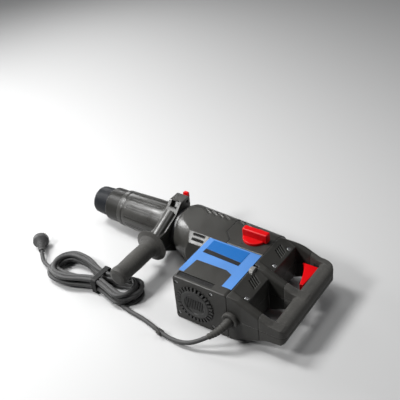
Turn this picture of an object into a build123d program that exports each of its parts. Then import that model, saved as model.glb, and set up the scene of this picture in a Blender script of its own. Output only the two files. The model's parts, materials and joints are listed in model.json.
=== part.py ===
from build123d import *
import math
import os

# A heavy SDS-max rotary hammer, lying on its side with its mains lead.  Millimetres.
# X runs forward out of the tool holder, whose mouth is at the origin.  Y runs along the motor.
# Z is up as the tool lies, so the two flat sides of the casing are at plus and minus HALF_WIDTH.

# ---- driving dimensions -------------------------------------------------------------------
HALF_WIDTH = 54.0
FLOOR = -HALF_WIDTH
BORE_R = 9.05            # running fit on an 18 mm SDS-max shank
BORE_DEPTH = 74.0
CAP_FRONT = 7.0
CAP_BACK = -36.0
SLEEVE_BACK = -84.0
SLEEVE_R = 38.3
BARREL_FRONT = -73.0
BARREL_BACK = -197.0
SEAT_BACK = -236.0
SEAT_R = 44.0
NOSE = -238.0
COVER_SEAM = -362.0
MOTOR_FRONT = -341.0
CASE_BACK = -464.0
CASE_LOW_Y = -57.0       # at the nose
CASE_BACK_LOW_Y = -44.0
CASE_ROUND = 46.0        # the side away from the motor is nearly a half round
CASE_HIGH_Y = 74.0       # in front of the motor
CASE_CHAMFER = 19.0      # along the edges beside the motor
MOTOR_END = 190.0
WALL = 3.5
WALL_BACK = -498.0       # front face of the two finger loops
GRIP_SEAM = -531.0
GRIP_FRONT = -551.0
GRIP_BACK = -585.0
HANDLE_LOW_Y = -29.0
LOOP_1 = (-15.0, 75.0)
LOOP_2 = (95.0, 171.0)
MOTOR_X = -392.0
MODULE = 1.5
MOTOR_TEETH = 9
CRANK_TEETH = 50
IDLER_TEETH = 32
BEVEL_TEETH = 12
RING_TEETH = 34
BEVEL_MODULE = 2.0
GEAR_Y = (40.0, 48.0)
PLATE_Y = (49.6, 56.2)      # plate between the gears and the motor
THROW = 14.0
ROD_LENGTH = 72.0
CYLINDER_R = 17.0
SPINDLE_R = 24.0
SIDE_X = -213.5          # plane of the side handle
SIDE_Z = 9.0
FLANGE_Y = 92.0
DEPTH_ROD_R = 4.2
CORD_R = 4.5
GLAND = (-472.0, MOTOR_END, 0.0)

# ---- worked out from them -----------------------------------------------------------------
CRANK_X = MOTOR_X + MODULE * (MOTOR_TEETH + CRANK_TEETH) / 2
IDLER_X = CRANK_X + MODULE * (CRANK_TEETH + IDLER_TEETH) / 2
BEVEL_R = BEVEL_MODULE * BEVEL_TEETH / 2
RING_R = BEVEL_MODULE * RING_TEETH / 2
PIN_X = CRANK_X + THROW
WRIST_X = PIN_X + ROD_LENGTH
CORD_Z = FLOOR + CORD_R


# ---- shapes -------------------------------------------------------------------------------
def block(x, y, z, radius=0.0, along=None):
    """A box between the limits, with the edges along one axis (or all of them) rounded."""
    size = [b - a for a, b in (x, y, z)]
    centre = [(a + b) / 2 for a, b in (x, y, z)]
    solid = Pos(*centre) * Box(*size)
    if radius:
        edges = solid.edges() if along is None else solid.edges().filter_by(along)
        solid = fillet(edges, radius)
    return solid


def rod(along, span, radius, centre=(0.0, 0.0)):
    """A cylinder along x, y or z between the span's ends."""
    length = span[1] - span[0]
    middle = (span[0] + span[1]) / 2
    if along == "x":
        return Pos(middle, centre[0], centre[1]) * Rot(0, 90, 0) * Cylinder(radius, length)
    if along == "y":
        return Pos(centre[0], middle, centre[1]) * Rot(90, 0, 0) * Cylinder(radius, length)
    return Pos(centre[0], centre[1], middle) * Cylinder(radius, length)


def tube(along, span, outer, inner, centre=(0.0, 0.0)):
    return rod(along, span, outer, centre) - rod(along, span, inner, centre)


def turned(profile, along="x", at=(0.0, 0.0, 0.0)):
    """A solid of revolution: the profile is (distance along the axis, radius)."""
    solid = revolve(make_face(Polyline(*profile, close=True)), Axis.X, 360)
    if along == "y":
        solid = Rot(0, 0, 90) * solid
    return Pos(*at) * solid


def prism(points, z):
    """A polygon in XY, extruded between two heights."""
    return Pos(0, 0, z[0]) * extrude(make_face(Polyline(*points, close=True)), z[1] - z[0])


def side_prism(points, y):
    """A polygon in XZ, extruded between two values of y."""
    face = make_face(Polyline(*points, close=True))
    return Pos(0, y[1], 0) * Rot(90, 0, 0) * extrude(face, y[1] - y[0])


def both_sides(shape):
    """The shape on the upper side of the casing and its mirror image on the lower side."""
    return [shape, mirror(shape, Plane.XY)]


def ring_of(count, shape, axis, start=0.0):
    return [shape.rotate(axis, start + 360 * k / count) for k in range(count)]


def gear_points(teeth, module, half_step=False):
    """A spur gear's outline, with slim teeth for a free running mesh."""
    pitch = 2 * math.pi / teeth
    radius = module * teeth / 2
    outline = ((-1.2, -0.27), (0.0, -0.20), (0.8, -0.10), (0.8, 0.10), (0.0, 0.20), (-1.2, 0.27))
    points = []
    for k in range(teeth):
        for rise, turn in outline:
            angle = pitch * (k + turn + (0.5 if half_step else 0.0))
            r = radius + rise * module
            points.append((r * math.cos(angle), r * math.sin(angle)))
    return points


def spur(teeth, module, y, x, half_step=False):
    return Pos(x, 0, 0) * side_prism(gear_points(teeth, module, half_step), y)


# ---- casing -------------------------------------------------------------------------------
def nose_cone(grow=0.0):
    """The bound of the gear casing's front: a dome about the barrel axis that widens backwards."""
    front = NOSE - grow
    profile = [
        (front, 0), (front, 46), (front - 2, 51), (front - 6, 55), (front - 12, 57.5),
        (front - 45, 72), (front - 75, 92), (CASE_BACK - 1, 92), (CASE_BACK - 1, 0),
    ]
    return turned(profile)


def case_section(x, low_y, shrink):
    """Outline of the gear casing across the barrel, shrunk evenly for its inside."""
    low, high = low_y + shrink, CASE_HIGH_Y - shrink
    face = Pos(0, (low + high) / 2) * Rectangle(2 * (HALF_WIDTH - shrink), high - low)
    face = fillet(face.vertices().sort_by(Axis.Y)[:2], CASE_ROUND - shrink)
    face = chamfer(face.vertices().sort_by(Axis.Y)[-2:], CASE_CHAMFER - 0.586 * shrink)
    return Plane(origin=(x, 0, 0), x_dir=(0, 0, 1), z_dir=(-1, 0, 0)) * face


def gear_outer(shrink):
    """The gear casing's solid bulk, which narrows backwards on the side away from the motor."""
    ends = [(NOSE, CASE_LOW_Y), (CASE_BACK, CASE_BACK_LOW_Y)]
    return loft([case_section(x, low_y, shrink) for x, low_y in ends], ruled=True)


def gear_body():
    outer = gear_outer(0)
    inner = gear_outer(WALL) & block((CASE_BACK + WALL, NOSE + 1), (-70, CASE_HIGH_Y), (-60, 60))
    cavity = inner & nose_cone(WALL)
    cavity += block((-458, MOTOR_FRONT - 6), (40, CASE_HIGH_Y + 1), (-46, 46))
    shell = (outer & nose_cone()) - cavity
    return shell - rod("x", (NOSE - 20, NOSE + 5), 36.2)


def seam(z):
    """The plan of the front casing, as far back as its stepped joint with the rear cover."""
    points = [
        (COVER_SEAM, CASE_LOW_Y - 5), (COVER_SEAM, 24), (COVER_SEAM - 19, 43),
        (COVER_SEAM - 19, CASE_HIGH_Y + 5), (NOSE + 5, CASE_HIGH_Y + 5), (NOSE + 5, CASE_LOW_Y - 5),
    ]
    return prism(points, z)


def seam_groove():
    """A narrow groove all round the outside where the two casings meet."""
    plan = seam((FLOOR - 5, HALF_WIDTH + 5))
    return (plan - Pos(1.2, 0, 0) * plan) - gear_outer(1.6)


def casing_grooves():
    """Slanted shallow grooves on each flat side, along its edge away from the motor."""
    grooves = []
    for x in (-285, -301, -317, -333, -369, -385):
        bar = Pos(x, -19, HALF_WIDTH) * Rot(0, 0, -32) * Box(25, 5, 24)
        grooves += both_sides(bar - gear_outer(2.4))
    return grooves


def gear_housing():
    shell = gear_body() & seam((FLOOR - 5, HALF_WIDTH + 5))
    top = HALF_WIDTH - 1.0
    shell = shell & block((CASE_BACK, NOSE + 5), (-70, CASE_HIGH_Y + 1), (-top, top))
    for y, z in ((59.2, 49.7), (66.6, 42.4)):
        air_slot = Pos(-316, y, z) * Rot(-45, 0, 0) * Box(27, 4.2, 16)
        for cut in both_sides(air_slot):
            shell -= cut
    for groove in casing_grooves():
        shell -= groove
    return shell - motor_front_cut() - seam_groove()


def gear_cover():
    shell = gear_body() - seam((FLOOR - 5, HALF_WIDTH + 5))
    shell += rod("z", (HALF_WIDTH - 8, HALF_WIDTH), 22, (-425, 18)) & gear_outer(0)
    shell -= rod("z", (HALF_WIDTH - 10, HALF_WIDTH + 1), 10.3, (-425, 18))
    for groove in casing_grooves():
        shell -= groove
    return shell - motor_front_cut()


def motor_front_cut():
    """The joint with the motor casing, which starts at the front of the motor."""
    return block((CASE_BACK - 1, MOTOR_FRONT), (57.0, CASE_HIGH_Y + 1), (FLOOR - 1, HALF_WIDTH + 1))


def panel_plan():
    """The coloured side panel: a square arch with a cut-out for the service cover."""
    return [
        (MOTOR_FRONT - 1.5, 58), (-463, 58), (-463, 169.5), (-441.4, 169.5), (-441.4, 134),
        (-426, 127), (-357.6, 128), (-354.6, 169.5), (MOTOR_FRONT - 1.5, 169.5),
    ]


def motor_housing():
    body = block((CASE_BACK, MOTOR_FRONT), (57.0, MOTOR_END), (FLOOR, HALF_WIDTH), 7, Axis.Y)
    end_edges = body.faces().sort_by(Axis.Y)[-1].edges()
    body = fillet(end_edges, 2.5)
    body -= rod("y", (50, MOTOR_END - 8), 47.6, (MOTOR_X, 0))
    body -= rod("y", (MOTOR_END - 9, MOTOR_END + 1), 42.2, (-390, 0))
    body -= block((-460, -446), (62, MOTOR_END - 12), (-36, 36))
    recess = prism(panel_plan(), (HALF_WIDTH - 1.6, HALF_WIDTH + 1))
    groove = block((-428, -347), (171.5, 184), (HALF_WIDTH - 2.4, HALF_WIDTH + 1))
    for shape in both_sides(recess) + both_sides(groove):
        body -= shape
    for x, z in SCREW_HOLES:
        body -= rod("y", (MOTOR_END - 5, MOTOR_END + 1), 4.2, (x, z))
    return body - dial_space() - gland_space()


SCREW_HOLES = [(-429, 42), (-349, 40), (-429, -42), (-349, -40)]


def motor_end_cover():
    """Round vent cover: a disc with a castellated rim that stands proud of the end."""
    disc = turned(
        [(MOTOR_END - 8.5, 0), (MOTOR_END - 8.5, 42), (MOTOR_END - 2.5, 42), (MOTOR_END - 2.5, 34.5),
         (MOTOR_END + 1.5, 33), (MOTOR_END + 3.0, 31), (MOTOR_END + 3.0, 24), (MOTOR_END + 1.0, 22),
         (MOTOR_END + 1.0, 0)], "y", (-390, 0, 0),
    )
    teeth = []
    for k in range(28):
        tooth = Pos(37.6, MOTOR_END - 1.0, 0) * Box(8.6, 7, 4.1)
        teeth.append(Pos(-390, 0, 0) * tooth.rotate(Axis.Y, 360 * (k + 0.5) / 28))
    cover = disc + teeth
    for k in range(10):
        slot = Pos(-408 + 4 * k, MOTOR_END - 2, 0) * Box(1.8, 20, 26)
        cover -= slot
    return cover


def trim_panel(side):
    plate = prism(panel_plan(), (HALF_WIDTH - 1.6, HALF_WIDTH))
    return plate if side > 0 else mirror(plate, Plane.XY)


def name_plates():
    """Thin plates on each panel: a coloured one and a dark strip below it."""
    z = (HALF_WIDTH, HALF_WIDTH + 0.5)
    upper = prism([(-355, 62), (-439, 62), (-439, 95), (-355, 90)], z)
    strip = prism([(-355, 91), (-439, 96), (-439, 106), (-355, 103)], z)
    return Compound([upper, strip])


# ---- rear handle --------------------------------------------------------------------------
def arm_profile():
    return [
        (CASE_BACK, FLOOR), (CASE_BACK, HALF_WIDTH), (-470, HALF_WIDTH), (-488, 50), (-556, 20),
        (GRIP_BACK + 8, 18), (GRIP_BACK + 8, -18), (-556, -20), (-488, -50), (-470, FLOOR),
    ]


def wall_profile():
    """The sloped wall behind the motor, in front of the finger loops."""
    return [
        (CASE_BACK, FLOOR), (CASE_BACK, HALF_WIDTH), (-467, HALF_WIDTH), (WALL_BACK, 37),
        (WALL_BACK, -37), (-467, FLOOR),
    ]


def arm(y, radius):
    solid = side_prism(arm_profile(), y)
    long_edges = solid.edges().filter_by(lambda e: abs(e.center().Y - (y[0] + y[1]) / 2) > 1)
    sloped = long_edges.filter_by(lambda e: abs(e.center().Z) > 30 and e.center().X < -489)
    return fillet(sloped, radius)


def rear_grip_bar():
    return block((GRIP_BACK, GRIP_FRONT), (HANDLE_LOW_Y, MOTOR_END), (-18, 18), 13, Axis.Y)


def handle_body():
    """The whole rear handle before it is cut into shells."""
    body = side_prism(wall_profile(), (HANDLE_LOW_Y, MOTOR_END))
    arms = [((HANDLE_LOW_Y, LOOP_1[0]), 6.5), ((LOOP_1[1], LOOP_2[0]), 7), ((LOOP_2[1], MOTOR_END), 6)]
    for y, radius in arms:
        body += arm(y, radius)
    body += rear_grip_bar()
    span = (HANDLE_LOW_Y, MOTOR_END)
    envelope = block((GRIP_BACK - 1, CASE_BACK), span, (FLOOR, HALF_WIDTH))
    low_edges = envelope.edges().filter_by(Axis.X).sort_by(Axis.Y)[:2]
    body = body & fillet(low_edges, 30)
    for corner in handle_corners():
        body -= corner
    return body - handle_hollow() - dial_space() - gland_space()


def handle_corners():
    """What the rounded corners of the handle's plan take away."""
    corners = []
    for y, radius in ((HANDLE_LOW_Y, 27), (MOTOR_END, 12)):
        inwards = 1 if y < 0 else -1
        centre = (GRIP_BACK + radius, y + inwards * radius)
        square = block(
            (GRIP_BACK - 1, centre[0]), sorted((y - inwards, centre[1])), (-60, 60),
        )
        corners.append(square - rod("z", (-61, 61), radius, centre))
    return corners


def handle_hollow():
    """Room for the control board, the switch and the trigger."""
    board = block((-494, CASE_BACK - 3), (-10, 176), (-32, 32))
    switch = block((-580, -556), (-17, 66), (-12, 12))
    trigger = block((-557, -540), (-17, 60), (-9.5, 9.5))
    return board + switch + trigger


def vent_slots():
    """Two groups of four slanted slots through the sloped wall of each side."""
    slots = []
    for y in (10, 16, 22, 28, 112, 118, 124, 130):
        slot = Pos(-483, y, 44) * Rot(0, -28, 0) * Rot(0, 0, -22) * Box(21, 2.8, 14)
        slots += both_sides(slot)
    return slots


HANDLE_SCREWS = [(-492, 0), (-492, 58), (-492, 163)]


def screw_seat(x, y):
    return Pos(x, y, 40.5) * Rot(0, -28, 0) * Cylinder(4.6, 7)


def handle_shell(side):
    """One half of the front part of the rear handle, split where the halves meet."""
    half = (0, 80) if side > 0 else (-80, 0)
    shell = handle_body() & block((GRIP_SEAM, CASE_BACK), (-60, 200), half)
    for shape in vent_slots():
        shell -= shape
    for x, y in HANDLE_SCREWS:
        for seat in both_sides(screw_seat(x, y)):
            shell -= seat
    return shell


def grip_shell(side):
    """One half of the soft-covered D of the rear handle."""
    half = (0, 80) if side > 0 else (-80, 0)
    return handle_body() & block((GRIP_BACK - 5, GRIP_SEAM), (-60, 200), half)


def trigger():
    points = [(-549, 50), (-541, 50), (-533, 20), (-526, 2), (-517, -10.5), (-530, -11), (-553, -11)]
    solid = prism(points, (-8.5, 8.5))
    front = solid.edges().filter_by(lambda e: e.center().X > -545 and abs(e.center().Z) > 8)
    solid = fillet(front, 2.5)
    return solid


def power_switch():
    body = block((-579, -567), (-15, 40), (-10.5, 10.5), 1, Axis.Y)
    return body + block((-567, -563), (0, 12), (-4, 4))


def dial_space():
    return block((-474, -461), (87, 113), (30, HALF_WIDTH + 5))


def speed_dial():
    """Thumb wheel whose rim stands out of the casing."""
    wheel = rod("x", (-472, -463), 12, (100, HALF_WIDTH - 9.5))
    grooves = []
    for k in range(24):
        notch = Pos(-467.5, 112.3, HALF_WIDTH - 9.5) * Box(12, 1.6, 1.2)
        grooves.append(notch.rotate(Axis((0, 100, HALF_WIDTH - 9.5), (1, 0, 0)), 15 * k))
    return wheel - grooves


def control_board():
    board = block((-486, -484), (95, 170), (-28, 28))
    parts = [
        block((-484, -474), (120, 140), (-20, 0)),
        rod("x", (-484, -469), 7, (155, -12)),
        block((-484, -476), (146, 166), (6, 24)),
    ]
    return board + parts


# ---- controls on the gear cover -----------------------------------------------------------
def mode_knob():
    """Round disc with a tall bar grip, on a stem through the cover."""
    z = HALF_WIDTH + 0.3
    disc = rod("z", (z, z + 6), 25, (-425, 18))
    disc = fillet(disc.faces().sort_by(Axis.Z)[-1].edges(), 1.5)
    bar = block((-456, -399), (10.5, 25.5), (z + 1, z + 22), 3)
    stem = rod("z", (HALF_WIDTH - 14, z + 1), 10.25, (-425, 18))
    return disc + bar + stem


# ---- barrel -------------------------------------------------------------------------------
def barrel_tube():
    """Metal tube with the seat that the side handle clamps on, let into the gear casing."""
    profile = [
        (-98, 33.5), (-98, 36), (BARREL_BACK, 36), (BARREL_BACK, SEAT_R), (SEAT_BACK, SEAT_R),
        (SEAT_BACK, 36), (-258, 36), (-258, 33.5),
    ]
    return turned(profile)


def barrel_sleeve():
    """Moulded cover of the barrel: a smooth front band, raised lengthwise panels and a rear lip."""
    front, back = BARREL_FRONT, BARREL_BACK
    profile = [
        (front, 39.3), (front, 40.2), (front - 1, 40.8), (front - 11, 41.1), (front - 11.6, 40.2),
        (front - 14, 40.2), (front - 14.6, 41.3), (back + 2, 44.2), (back, 43.4), (back, 36.1),
        (-97.5, 36.1), (-97.5, 39.3),
    ]
    sleeve = turned(profile)
    for width, depth, start in ((2.8, 1.6, 12), (1.4, 1.1, 20)):
        groove = Pos((front + back) / 2 - 8, 0, 44.8 - depth) * Rot(0, 1.6, 0) * Box(94, width, 4)
        for shape in ring_of(12, groove, Axis.X, start):
            sleeve -= shape
    for angle in (0, 180):
        notch = Pos(back + 12, 0, 44.2) * Box(9, 4, 2.6)
        sleeve -= notch.rotate(Axis.X, angle - 14)
    return sleeve


def locking_sleeve():
    """Collar that is pulled back to free the tool shank."""
    back = SLEEVE_BACK
    profile = [
        (CAP_BACK - 0.3, 22.15), (CAP_BACK - 0.3, 36.4), (CAP_BACK - 2, 37.8), (CAP_BACK - 5, SLEEVE_R),
        (back, SLEEVE_R), (back, 34.5), (CAP_BACK - 10, 34.5), (CAP_BACK - 10, 22.15),
    ]
    return turned(profile)


def dust_cap():
    """Soft nose cap around the mouth of the tool holder."""
    profile = [
        (0.2, 9.6), (CAP_FRONT - 3, 11.5), (CAP_FRONT - 0.6, 14.5), (CAP_FRONT, 18), (CAP_FRONT - 0.6, 24),
        (CAP_FRONT - 3, 28.5), (0, 31), (-8, 31.8), (-20, 32.4), (CAP_BACK + 3, 33), (CAP_BACK, 32.2),
        (CAP_BACK, 22.2), (-28, 22.2), (-28, 17.1), (0.2, 17.1),
    ]
    return turned(profile)


def tool_holder():
    """Hardened tube that takes the tool shank, with slots for the locking rollers."""
    profile = [
        (0, BORE_R), (0, 17), (-28, 17), (-28, 22), (-84, 22), (-84, SPINDLE_R), (-150, SPINDLE_R),
        (-150, 12.05), (-BORE_DEPTH, 12.05), (-BORE_DEPTH, BORE_R),
    ]
    holder = turned(profile)
    for side in (1, -1):
        holder -= block((-66, -46), (-3.9, 3.9), (9.9, 23) if side > 0 else (-23, -9.9))
    return holder


def locking_rollers():
    return Compound([rod("x", (-65, -47), 3.7, (0, side * 14.0)) for side in (1, -1)])


def sleeve_spring():
    """Stack of wave washers behind the locking sleeve."""
    return Compound([tube("x", (-83 + 4 * k, -81.4 + 4 * k), 30, 22.4) for k in range(6)])


def cylinder():
    return tube("x", (-292, -150.0), SPINDLE_R, CYLINDER_R)


def bevel_ring_gear():
    """Crown wheel fixed on the cylinder, with its teeth towards the back."""
    pitch_x = IDLER_X + BEVEL_R
    body = tube("x", (pitch_x + 2.4, pitch_x + 11), 38, SPINDLE_R)
    pitch = math.pi * BEVEL_MODULE
    outline = [
        (pitch_x + 3, -0.27 * pitch), (pitch_x, -0.19 * pitch), (pitch_x - 1.5, -0.09 * pitch),
        (pitch_x - 1.5, 0.09 * pitch), (pitch_x, 0.19 * pitch), (pitch_x + 3, 0.27 * pitch),
    ]
    tooth = side_prism(outline, (28.5, 37.9))
    return body + ring_of(RING_TEETH, tooth, Axis.X, 180 / RING_TEETH)


def spindle_bearings():
    return Compound([tube("x", (x - 12, x), 33.5, SPINDLE_R + 0.02) for x in (-100, -244)])


# ---- hammer mechanism ---------------------------------------------------------------------
def impact_bolt():
    profile = [
        (-78, 0), (-78, 8.2), (-79, 9), (-92, 9), (-93, 12), (-146, 12), (-147, 9), (-166, 9),
        (-168, 7.5), (-168, 0),
    ]
    return turned(profile)


def ram():
    fit = CYLINDER_R - 0.05
    profile = [
        (-192, 0), (-192, 10), (-196, fit), (-204, fit), (-204, 15), (-207, 15), (-207, fit),
        (-232, fit), (-232, 0),
    ]
    return turned(profile)


def piston():
    fit = CYLINDER_R - 0.05
    body = turned(
        [(-240, 0), (-240, fit), (-245, fit), (-245, 15), (-248, 15), (-248, fit), (-274, fit), (-274, 0)]
    )
    body -= block((-275, WRIST_X + 11), (-7.4, 7.4), (-18, 18))
    return body - rod("y", (-18, 18), 4.5, (WRIST_X, 0))


def wrist_pin():
    return rod("y", (-15.5, 15.5), 4.5, (WRIST_X, 0))


def connecting_rod():
    """Rod with an eye at each end.  The crank pin stops just short of the big eye."""
    rod_body = rod("y", (-7, 7), 12, (PIN_X, 0)) + rod("y", (-7, 7), 9, (WRIST_X, 0))
    rod_body += block((PIN_X, WRIST_X), (-4, 4), (-6, 6))
    rod_body -= rod("y", (-8, 8), 6.1, (PIN_X, 0))
    return rod_body - rod("y", (-8, 8), 4.55, (WRIST_X, 0))


def crankshaft():
    shaft = rod("y", (20, 49), 10, (CRANK_X, 0)) + rod("y", (49, PLATE_Y[1]), 7, (CRANK_X, 0))
    shaft += rod("y", (12, 20), 22, (CRANK_X, 0))
    return shaft + rod("y", (8.6, 12), 6, (PIN_X, 0))


def crank_gear():
    gear = spur(CRANK_TEETH, MODULE, GEAR_Y, CRANK_X) - rod("y", (39, 49), 10, (CRANK_X, 0))
    holes = ring_of(6, rod("y", (39, 49), 5.5, (23, 0)), Axis.Y)
    return gear - [Pos(CRANK_X, 0, 0) * hole for hole in holes]


def idler_gear():
    """Intermediate shaft: a spur wheel driven by the crank wheel, and a bevel pinion."""
    wheel = spur(IDLER_TEETH, MODULE, GEAR_Y, IDLER_X, True) - rod("y", (39, 49), 6, (IDLER_X, 0))
    large = gear_points(BEVEL_TEETH, BEVEL_MODULE)
    small = [(0.83 * x, 0.83 * y) for x, y in large]
    faces = []
    for outline, y in ((small, 28.5), (large, 36.0)):
        face = make_face(Polyline(*outline, close=True))
        faces.append(Pos(IDLER_X, y, 0) * Rot(90, 0, 0) * face)
    pinion = loft(faces, ruled=True)
    return wheel + pinion + rod("y", (34, PLATE_Y[1]), 6, (IDLER_X, 0))


def shaft_bearings():
    """Bearings of the crank and of the intermediate shaft."""
    return Compound([
        tube("y", (25, 37), 17, 10.02, (CRANK_X, 0)),
        tube("y", PLATE_Y, 12, 7.02, (CRANK_X, 0)),
        tube("y", PLATE_Y, 10, 6.02, (IDLER_X, 0)),
    ])


def bearing_plate():
    """Plate across the gear casing that holds the crank's main bearing."""
    plate = block((-400, -303), (25, 37), (-49, 49), 6, Axis.Y)
    return plate - rod("y", (24, 38), 17, (CRANK_X, 0))


def gearbox_plate():
    """Plate between the gears and the motor."""
    plate = block((-457.5, -272), PLATE_Y, (-38, 38), 8, Axis.Y)
    plate -= rod("y", (49, 58), 12, (CRANK_X, 0))
    plate -= rod("y", (49, 58), 10, (IDLER_X, 0))
    return plate - rod("y", (49, 58), 13, (MOTOR_X, 0))


# ---- motor --------------------------------------------------------------------------------
def armature_shaft():
    shaft = rod("y", (48.5, 181), 5, (MOTOR_X, 0))
    return shaft + spur(MOTOR_TEETH, MODULE, (39, 49.5), MOTOR_X, True)


def armature_core():
    core = tube("y", (84, 136), 26.4, 5, (MOTOR_X, 0))
    slot = Pos(25, 110, 0) * Box(6, 60, 2.6)
    return core - [Pos(MOTOR_X, 0, 0) * shape for shape in ring_of(16, slot, Axis.Y)]


def commutator():
    body = tube("y", (141, 160), 14, 5, (MOTOR_X, 0))
    slot = Pos(14, 150, 0) * Box(3, 22, 0.8)
    return body - [Pos(MOTOR_X, 0, 0) * shape for shape in ring_of(24, slot, Axis.Y)]


def fan():
    hub = tube("y", (62, 65), 41, 5, (MOTOR_X, 0)) + tube("y", (62, 74), 10, 5, (MOTOR_X, 0))
    blade = Pos(28, 69, 0) * Rot(0, 25, 0) * Box(20, 9, 2)
    return hub + [Pos(MOTOR_X, 0, 0) * shape for shape in ring_of(13, blade, Axis.Y)]


def motor_bearings():
    return Compound([
        tube("y", PLATE_Y, 13, 5.02, (MOTOR_X, 0)),
        tube("y", (170, 180), 13, 5.02, (MOTOR_X, 0)),
    ])


def stator_core():
    core = tube("y", (82, 138), 47.3, 27.2, (MOTOR_X, 0))
    for side in (1, -1):
        core -= Pos(MOTOR_X + side * 33, 110, 0) * Box(16, 60, 30)
    return core


def field_coils():
    coils = []
    for side in (1, -1):
        outer = block((28.5, 40.5), (76, 144), (-14.5, 14.5), 4, Axis.X)
        ring = outer - block((27, 42), (84, 136), (-6, 6))
        coils.append(Pos(MOTOR_X, 0, 0) * (ring if side > 0 else mirror(ring, Plane.YZ)))
    return Compound(coils)


def brush_holders():
    holders = []
    for side in (1, -1):
        span = (18, 38) if side > 0 else (-38, -18)
        holder = block((MOTOR_X - 7, MOTOR_X + 7), (145, 157), span)
        space = block((MOTOR_X - 4, MOTOR_X + 4), (147, 155), (span[0] - 1, span[1] + 1))
        holders.append(holder - space)
    return Compound(holders)


def carbon_brushes():
    spans = ((14.3, 34), (-34, -14.3))
    return Compound([block((MOTOR_X - 3.9, MOTOR_X + 3.9), (147.1, 154.9), span) for span in spans])


# ---- side handle --------------------------------------------------------------------------
def side_bracket():
    """Bracket of the side handle: block over the barrel, gusset and half-round arm."""
    x = (SIDE_X - 15.5, SIDE_X + 15.5)
    plan = [
        (-34, 44), (-34, 63), (-3, 64), (20, 44), (62, 27), (86, 27), (86, -10), (60, -24), (34, -42),
        (8, -50), (-8, -50), (-34, -36),
    ]
    points = [(-z, y) for y, z in plan]
    face = make_face(Polyline(*points, close=True))
    solid = Pos(x[0], 0, 0) * Rot(0, 90, 0) * extrude(face, x[1] - x[0])
    solid = fillet(solid.edges().filter_by(Axis.X).filter_by(lambda e: e.center().Z > 60), 4)
    cut = block((x[0] - 1, x[0] + 3), (30, 80), (-14, 20))
    solid = solid - rod("x", (x[0] - 1, x[1] + 1), SEAT_R + 2.4) - cut
    ridge = Pos(SIDE_X, 52, 32) * Rot(-23, 0, 0) * Rot(90, 0, 0) * Cylinder(11.5, 74)
    solid += ridge & block((x[0], x[1]), (14, 86), (10, 70))
    solid -= rod("x", (x[0] - 1, x[1] + 1), SEAT_R + 2.4)
    pocket = Pos(SIDE_X, 1, 58) * Rot(-48, 0, 0) * Box(17, 17, 20)
    solid -= pocket
    solid -= rod("x", (x[0] - 1, x[1] + 1), DEPTH_ROD_R, (-24, 54))
    solid -= block((SIDE_X - 5, SIDE_X + 5), (-40, -29), (49, 59))
    flange_seat = rod("y", (84, 86), 22, (SIDE_X, SIDE_Z))
    solid += flange_seat
    solid -= rod("y", (40, 52.5), 8.3, (SIDE_X, SIDE_Z))
    return solid - rod("y", (40, 88), 4.05, (SIDE_X, SIDE_Z))


def clamp_band():
    """Steel strap round the barrel seat, inside the bracket."""
    return tube("x", (SIDE_X - 13, SIDE_X + 13), SEAT_R + 2.35, SEAT_R + 0.35)


def clamp_stud():
    head = rod("y", (47.5, 52), 8, (SIDE_X, SIDE_Z))
    return head + rod("y", (50, 150), 4, (SIDE_X, SIDE_Z))


def side_grip():
    """Moulded grip with its dished hand guard and bulbed end."""
    y = FLANGE_Y
    profile = [
        (y - 5.7, 24), (y - 2, 34), (y, 36.5), (y + 2, 36.8), (y + 2.6, 35.5), (y + 6, 28), (y + 13, 21.5),
        (y + 22, 19.2), (y + 60, 19.6), (y + 95, 18.6), (y + 106, 19.8), (y + 113, 20.6), (y + 118, 18),
        (y + 120, 12), (y + 120, 0), (y - 1, 0), (y - 1, 22.3), (y - 5.7, 22.3),
    ]
    grip = turned(profile, "y", (SIDE_X, 0, SIDE_Z))
    return grip - rod("y", (y - 10, 150.4), 4.05, (SIDE_X, SIDE_Z))


def depth_lock_button():
    """Push button that frees the depth rod."""
    stem = block((SIDE_X - 4.6, SIDE_X + 4.6), (-38, -32.6), (49.4, 58.6), 1.2, Axis.Y)
    tip = block((SIDE_X - 8, SIDE_X + 4.6), (-44, -37.4), (50, 64), 2, Axis.Y)
    return stem + tip


# ---- fasteners ----------------------------------------------------------------------------
def pan_screw():
    """Pan head and shank along Z, with its seat at z = 0."""
    screw = Cylinder(4.1, 3.2, align=(Align.CENTER, Align.CENTER, Align.MIN))
    screw = fillet(screw.faces().sort_by(Axis.Z)[-1].edges(), 1.0)
    screw -= Pos(0, 0, 3.2) * Box(4.8, 1.1, 2.4)
    screw -= Pos(0, 0, 3.2) * Box(1.1, 4.8, 2.4)
    return screw


def case_screws():
    """The handle's screws in their sloped seats, and the four at the motor's end."""
    screws = []
    for x, y in HANDLE_SCREWS:
        upper = Pos(x, y, 40.5) * Rot(0, -28, 0) * Pos(0, 0, -3.5) * pan_screw()
        screws += both_sides(upper)
    for x, z in SCREW_HOLES:
        screws.append(Pos(x, MOTOR_END - 5, z) * Rot(-90, 0, 0) * pan_screw())
    return Compound(screws)


# ---- mains lead ---------------------------------------------------------------------------
LEAD = [
    (-448, 231, -20), (-427, 245, -34), (-400, 252, -44), (-370, 251, CORD_Z), (-340, 246, CORD_Z),
    (-311, 238, CORD_Z), (-282, 232, CORD_Z), (-252, 229, CORD_Z),
]
TAIL = [(-14, 211, -43), (4, 207, -44.5), (20, 198, -42), (33, 185, -37)]
PLUG_AIM = (0.72, -0.694, 0.0)
PLUG_BASE = (33, 185, -36)
HANK_X = (-252.0, -14.0)
HANK_Y = 194.0           # the hank's middle line
HANK_TOP = FLOOR + 35.0


def gland_space():
    return rod("y", (MOTOR_END - 10, MOTOR_END + 1), 10.1, (GLAND[0], GLAND[2]))


def cord_gland():
    """Collar on the casing's end that the strain relief leaves through."""
    x, y, z = GLAND
    return turned([(y, 10.5), (y, 17.2), (y + 6, 17.2), (y + 8, 15.4), (y + 8, 10.5)], "y", (x, 0, z))


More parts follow.
